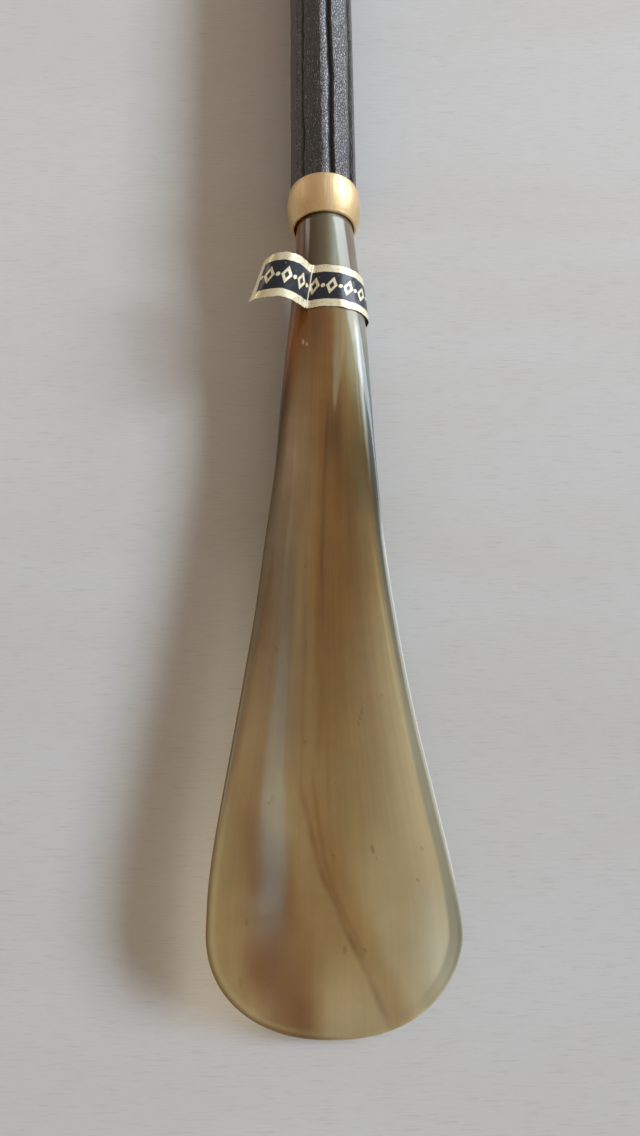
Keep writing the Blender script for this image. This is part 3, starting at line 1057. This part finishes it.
def cord_material(name):
    m = Nodes(name)
    tc = m.n("TexCoord").outputs["Object"]
    fine = m.noise(tc, 2600.0, 4, 0.6)
    wide = m.noise(tc, 320.0, 3, 0.6)
    gr = m.attr("groove")
    col = m.mix(m.maprange(wide, 0.35, 0.65), srgb(58, 34, 22), srgb(92, 58, 38))
    col = m.mix(m.math("MULTIPLY", gr, 0.85), col, srgb(24, 15, 11))
    col = m.mix(m.maprange(fine, 0.62, 0.74, 0.0, 0.4), col, srgb(132, 94, 66))
    b = m.n("BsdfPrincipled")
    for k, val in (("Base Color", col), ("Roughness", m.maprange(fine, 0.3, 0.7, 0.42, 0.62)), ("Normal", m.bump(m.math("ADD", fine, m.math("MULTIPLY", wide, 0.6)), 0.5, 0.0002))):
        m.set(b, k, val)
    return m.finish(b.outputs[0])


# ------------------------------------------------------------------ build the pieces
horn = horn_material("horn")
horn_knob = horn_material("horn_knob", False)
brass = brass_material("brass")
steel = steel_material("steel")

blade = build_blade()
blade.data.materials.append(horn)
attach(blade, "shoehorn"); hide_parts("horn_blade")

for nm, node in (("lower_collar_shell", "lower_collar"), ("upper_collar_shell", "upper_collar")):
    ob = build_collar(nm, node, "shoehorn")
    ob.data.materials.append(brass)
    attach(ob, "shoehorn"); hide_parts(node)

cover = build_cover()
cover.data.materials.append(cover_material("cover_leather"))
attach(cover, "shoehorn"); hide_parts("shaft_cover")

label = build_label()
label.data.materials.append(label_material("label"))
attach(label, "shoehorn"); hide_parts("foil_label")

cord = build_cord()
cord.data.materials.append(cord_material("cord_leather"))
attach(cord, "loop"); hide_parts("hanging_cord")


def dress(node, mat):
    ob = frame["nodes"][node]
    ob.data.materials.clear()
    ob.data.materials.append(mat)


dress("horn_finial", horn_knob)
dress("blade_stud", steel)
dress("finial_stud", steel)
dress("shaft_core", wood_material("core_wood"))
dress("cord_clasp", brass_material("clasp_brass", 0.6))

# ------------------------------------------------------------------ table, light, camera
BACKDROP = (0.50, 0.49, 0.475, 1)


def floor_material():
    m = Nodes("table_top")
    tc = m.n("TexCoord").outputs["Object"]
    sep = m.n("SeparateXYZ")
    m.set(sep, 0, tc)
    g1 = m.noise(m.combine(m.math("MULTIPLY", sep.outputs[0], 170.0), m.math("MULTIPLY", sep.outputs[1], 2300.0), 0.0), 1.0, 4, 0.65, 0.3)
    g2 = m.noise(m.combine(m.math("MULTIPLY", sep.outputs[0], 9.0), m.math("MULTIPLY", sep.outputs[1], 30.0), 3.0), 1.0, 4, 0.6, 0.4)
    g3 = m.noise(tc, 2200.0, 2, 0.6)
    col = m.mix(m.maprange(g2, 0.3, 0.7), srgb(199, 195, 189), srgb(203, 200, 196))
    col = m.mix(m.maprange(g1, 0.50, 0.78, 0.0, 0.44), col, srgb(168, 156, 144))
    col = m.mix(m.maprange(g3, 0.60, 0.80, 0.0, 0.15), col, srgb(166, 158, 150))
    far = m.maprange(sep.outputs[1], TIP_Y + 0.05, TIP_Y + 0.21, 0.0, 1.0)
    col = m.mix(far, m.mix(1.0, col, (0.88, 0.88, 0.885, 1), "MULTIPLY"), col)
    b = m.n("BsdfPrincipled")
    for k, val in (("Base Color", col), ("Roughness", 0.62), ("Specular IOR Level", 0.25), ("Normal", m.bump(m.math("ADD", g1, m.math("MULTIPLY", g3, 0.4)), 0.12, 0.00025))):
        m.set(b, k, val)
    # far from the object the table runs into a plain pale backdrop
    away = m.math("SQRT", m.math("ADD", m.math("MULTIPLY", sep.outputs[0], sep.outputs[0]), m.math("MULTIPLY", sep.outputs[1], sep.outputs[1])))
    lp = m.n("LightPath")
    em = m.n("Emission")
    em.inputs[0].default_value = BACKDROP
    mixs = m.n("MixShader")
    m.set(mixs, 0, m.math("MULTIPLY", lp.outputs["Is Camera Ray"], m.maprange(away, 0.9, 3.6, 0.0, 1.0)))
    m.t.links.new(b.outputs[0], mixs.inputs[1])
    m.t.links.new(em.outputs[0], mixs.inputs[2])
    return m.finish(mixs.outputs[0])


me = bpy.data.meshes.new("table_top")
me.from_pydata([(-8, -8, 0), (8, -8, 0), (8, 8, 0), (-8, 8, 0)], [], [(0, 1, 2, 3)])
table_top = bpy.data.objects.new("table_top", me)
scene.collection.objects.link(table_top)
me.materials.append(floor_material())

world = bpy.data.worlds.new("room")
scene.world = world
world.use_nodes = True
nt = world.node_tree
nt.nodes.clear()
wo = nt.nodes.new("ShaderNodeOutputWorld")
bg = nt.nodes.new("ShaderNodeBackground")
tcw = nt.nodes.new("ShaderNodeTexCoord")
sepw = nt.nodes.new("ShaderNodeSeparateXYZ")
mr = nt.nodes.new("ShaderNodeMapRange")
rampw = nt.nodes.new("ShaderNodeValToRGB")
nt.links.new(tcw.outputs["Generated"], sepw.inputs[0])
nt.links.new(sepw.outputs[0], mr.inputs[0])
mr.inputs[1].default_value, mr.inputs[2].default_value = -1.0, 1.0
nt.links.new(mr.outputs[0], rampw.inputs[0])
el = rampw.color_ramp.elements
el[0].position, el[0].color = 0.0, (0.31, 0.24, 0.17, 1)
el[1].position, el[1].color = 1.0, (0.58, 0.52, 0.45, 1)
nt.links.new(rampw.outputs[0], bg.inputs[0])
bg.inputs[1].default_value = 1.0
plain = nt.nodes.new("ShaderNodeBackground")
plain.inputs[0].default_value = BACKDROP
seen = nt.nodes.new("ShaderNodeLightPath")
either = nt.nodes.new("ShaderNodeMixShader")
nt.links.new(seen.outputs["Is Camera Ray"], either.inputs[0])
nt.links.new(bg.outputs[0], either.inputs[1])
nt.links.new(plain.outputs[0], either.inputs[2])
nt.links.new(either.outputs[0], wo.inputs[0])

FOCUS = Vector((0.0, TIP_Y + 0.085, AXIS_Z / 1000))


def area(name, az, elev, dist, sx, sy, power, colour):
    """az 0 is +X, turning towards +Y."""
    a, e = math.radians(az), math.radians(elev)
    d = Vector((math.cos(a) * math.cos(e), math.sin(a) * math.cos(e), math.sin(e)))
    light = bpy.data.lights.new(name, "AREA")
    light.shape = "RECTANGLE"
    light.size, light.size_y = sx, sy
    light.energy = power
    light.color = colour
    ob = bpy.data.objects.new(name, light)
    scene.collection.objects.link(ob)
    ob.location = FOCUS + d * dist
    ob.rotation_mode = "QUATERNION"
    ob.rotation_quaternion = (-d).to_track_quat("-Z", "Y")
    return ob


lamp = area("window", 11.0, 26.5, 6.4, 4.28, 1.52, 530.0, (0.90, 1.07, 1.28))
lamp.visible_glossy = False
lamp.visible_camera = False

def pane(name, y0, y1, z0, z1, radiance, colour, side=1):
    """The same window as the shiny surfaces see it: an upright pane 1.5 m away on the +X side."""
    light = bpy.data.lights.new(name, "AREA")
    light.shape = "RECTANGLE"
    light.size, light.size_y = y1 - y0, z1 - z0
    light.color = colour
    light.energy = radiance * math.pi * light.size * light.size_y
    ob = bpy.data.objects.new(name, light)
    scene.collection.objects.link(ob)
    ob.location = FOCUS + Vector((1.5 * side, (y0 + y1) / 2, (z0 + z1) / 2))
    ob.rotation_mode = "QUATERNION"
    ob.rotation_quaternion = Matrix(((0, 0, side), (side, 0, 0), (0, 1, 0))).to_quaternion()
    ob.visible_camera = False
    ob.visible_diffuse = False
    ob.visible_transmission = False
    return ob


pane("pane_far", 0.68, 3.2, 0.20, 1.65, 5.5, (0.86, 0.95, 1.08))
pane("pane_left", 1.2, 1.75, 0.20, 0.75, 2.2, (1.0, 0.94, 0.86), -1)

# the bright patch that the bowl of the scoop mirrors, an uneven four-sided opening beside the panes
patch = [(0.13, 0.60, 0.15), (-0.02, 0.56, 0.40), (-0.13, 0.66, 0.65), (-0.25, 0.82, 0.95), (-0.32, 0.95, 1.15), (-0.37, 1.15, 1.35), (-0.41, 1.35, 1.5), (-0.43, 1.48, 1.5)]
patch2 = [(0.13, 0.98, 0.15), (-0.01, 1.15, 0.40), (-0.11, 1.38, 0.65), (-0.24, 1.66, 0.95), (-0.33, 1.95, 1.15), (-0.43, 2.35, 1.35), (-0.51, 2.70, 1.5), (-0.56, 2.90, 1.5)]
me = bpy.data.meshes.new("bright_patch")
verts = [tuple(FOCUS + Vector((1.5, y, z))) for y, z, _ in patch + patch2]
me.from_pydata(verts, [], [(k, k + 1, k + 9, k + 8) for k in range(7)])
at = me.attributes.new("power", "FLOAT", "POINT")
at.data.foreach_set("value", [w for _, _, w in patch + patch2])
bright_patch = bpy.data.objects.new("bright_patch", me)
scene.collection.objects.link(bright_patch)
pm = Nodes("bright_patch")
em = pm.n("Emission")
em.inputs[0].default_value = (0.48, 0.83, 0.90, 1)
pm.set(em, "Strength", pm.math("MULTIPLY", pm.attr("power"), 2.6))
me.materials.append(pm.finish(em.outputs[0]))
bright_patch.visible_camera = False
bright_patch.visible_diffuse = False
bright_patch.visible_transmission = False
bright_patch.visible_shadow = False

cam_data = bpy.data.cameras.new("camera")
cam = bpy.data.objects.new("camera", cam_data)
scene.collection.objects.link(cam)
cam_data.sensor_width = 36.0
cam_data.sensor_fit = "AUTO"
cam_data.lens = 36.0 * 853.0 / 1136.0
cam_data.clip_start, cam_data.clip_end = 0.01, 20.0
pitch, yaw = math.radians(75.0), math.radians(0.647)
forward = Vector((math.sin(yaw) * math.cos(pitch), math.cos(yaw) * math.cos(pitch), -math.sin(pitch)))
right = Vector((math.cos(yaw), -math.sin(yaw), 0.0))
up_v = right.cross(forward)
rot = Matrix((right, up_v, -forward)).transposed()
cam.rotation_mode = "QUATERNION"
cam.rotation_quaternion = rot.to_quaternion()
cam.location = Vector((-0.002435, TIP_Y + 0.0462, AXIS_Z / 1000 + 0.1751))
scene.camera = cam

scene.view_settings.view_transform = "Standard"
scene.view_settings.look = "None"
scene.view_settings.exposure = 0.0
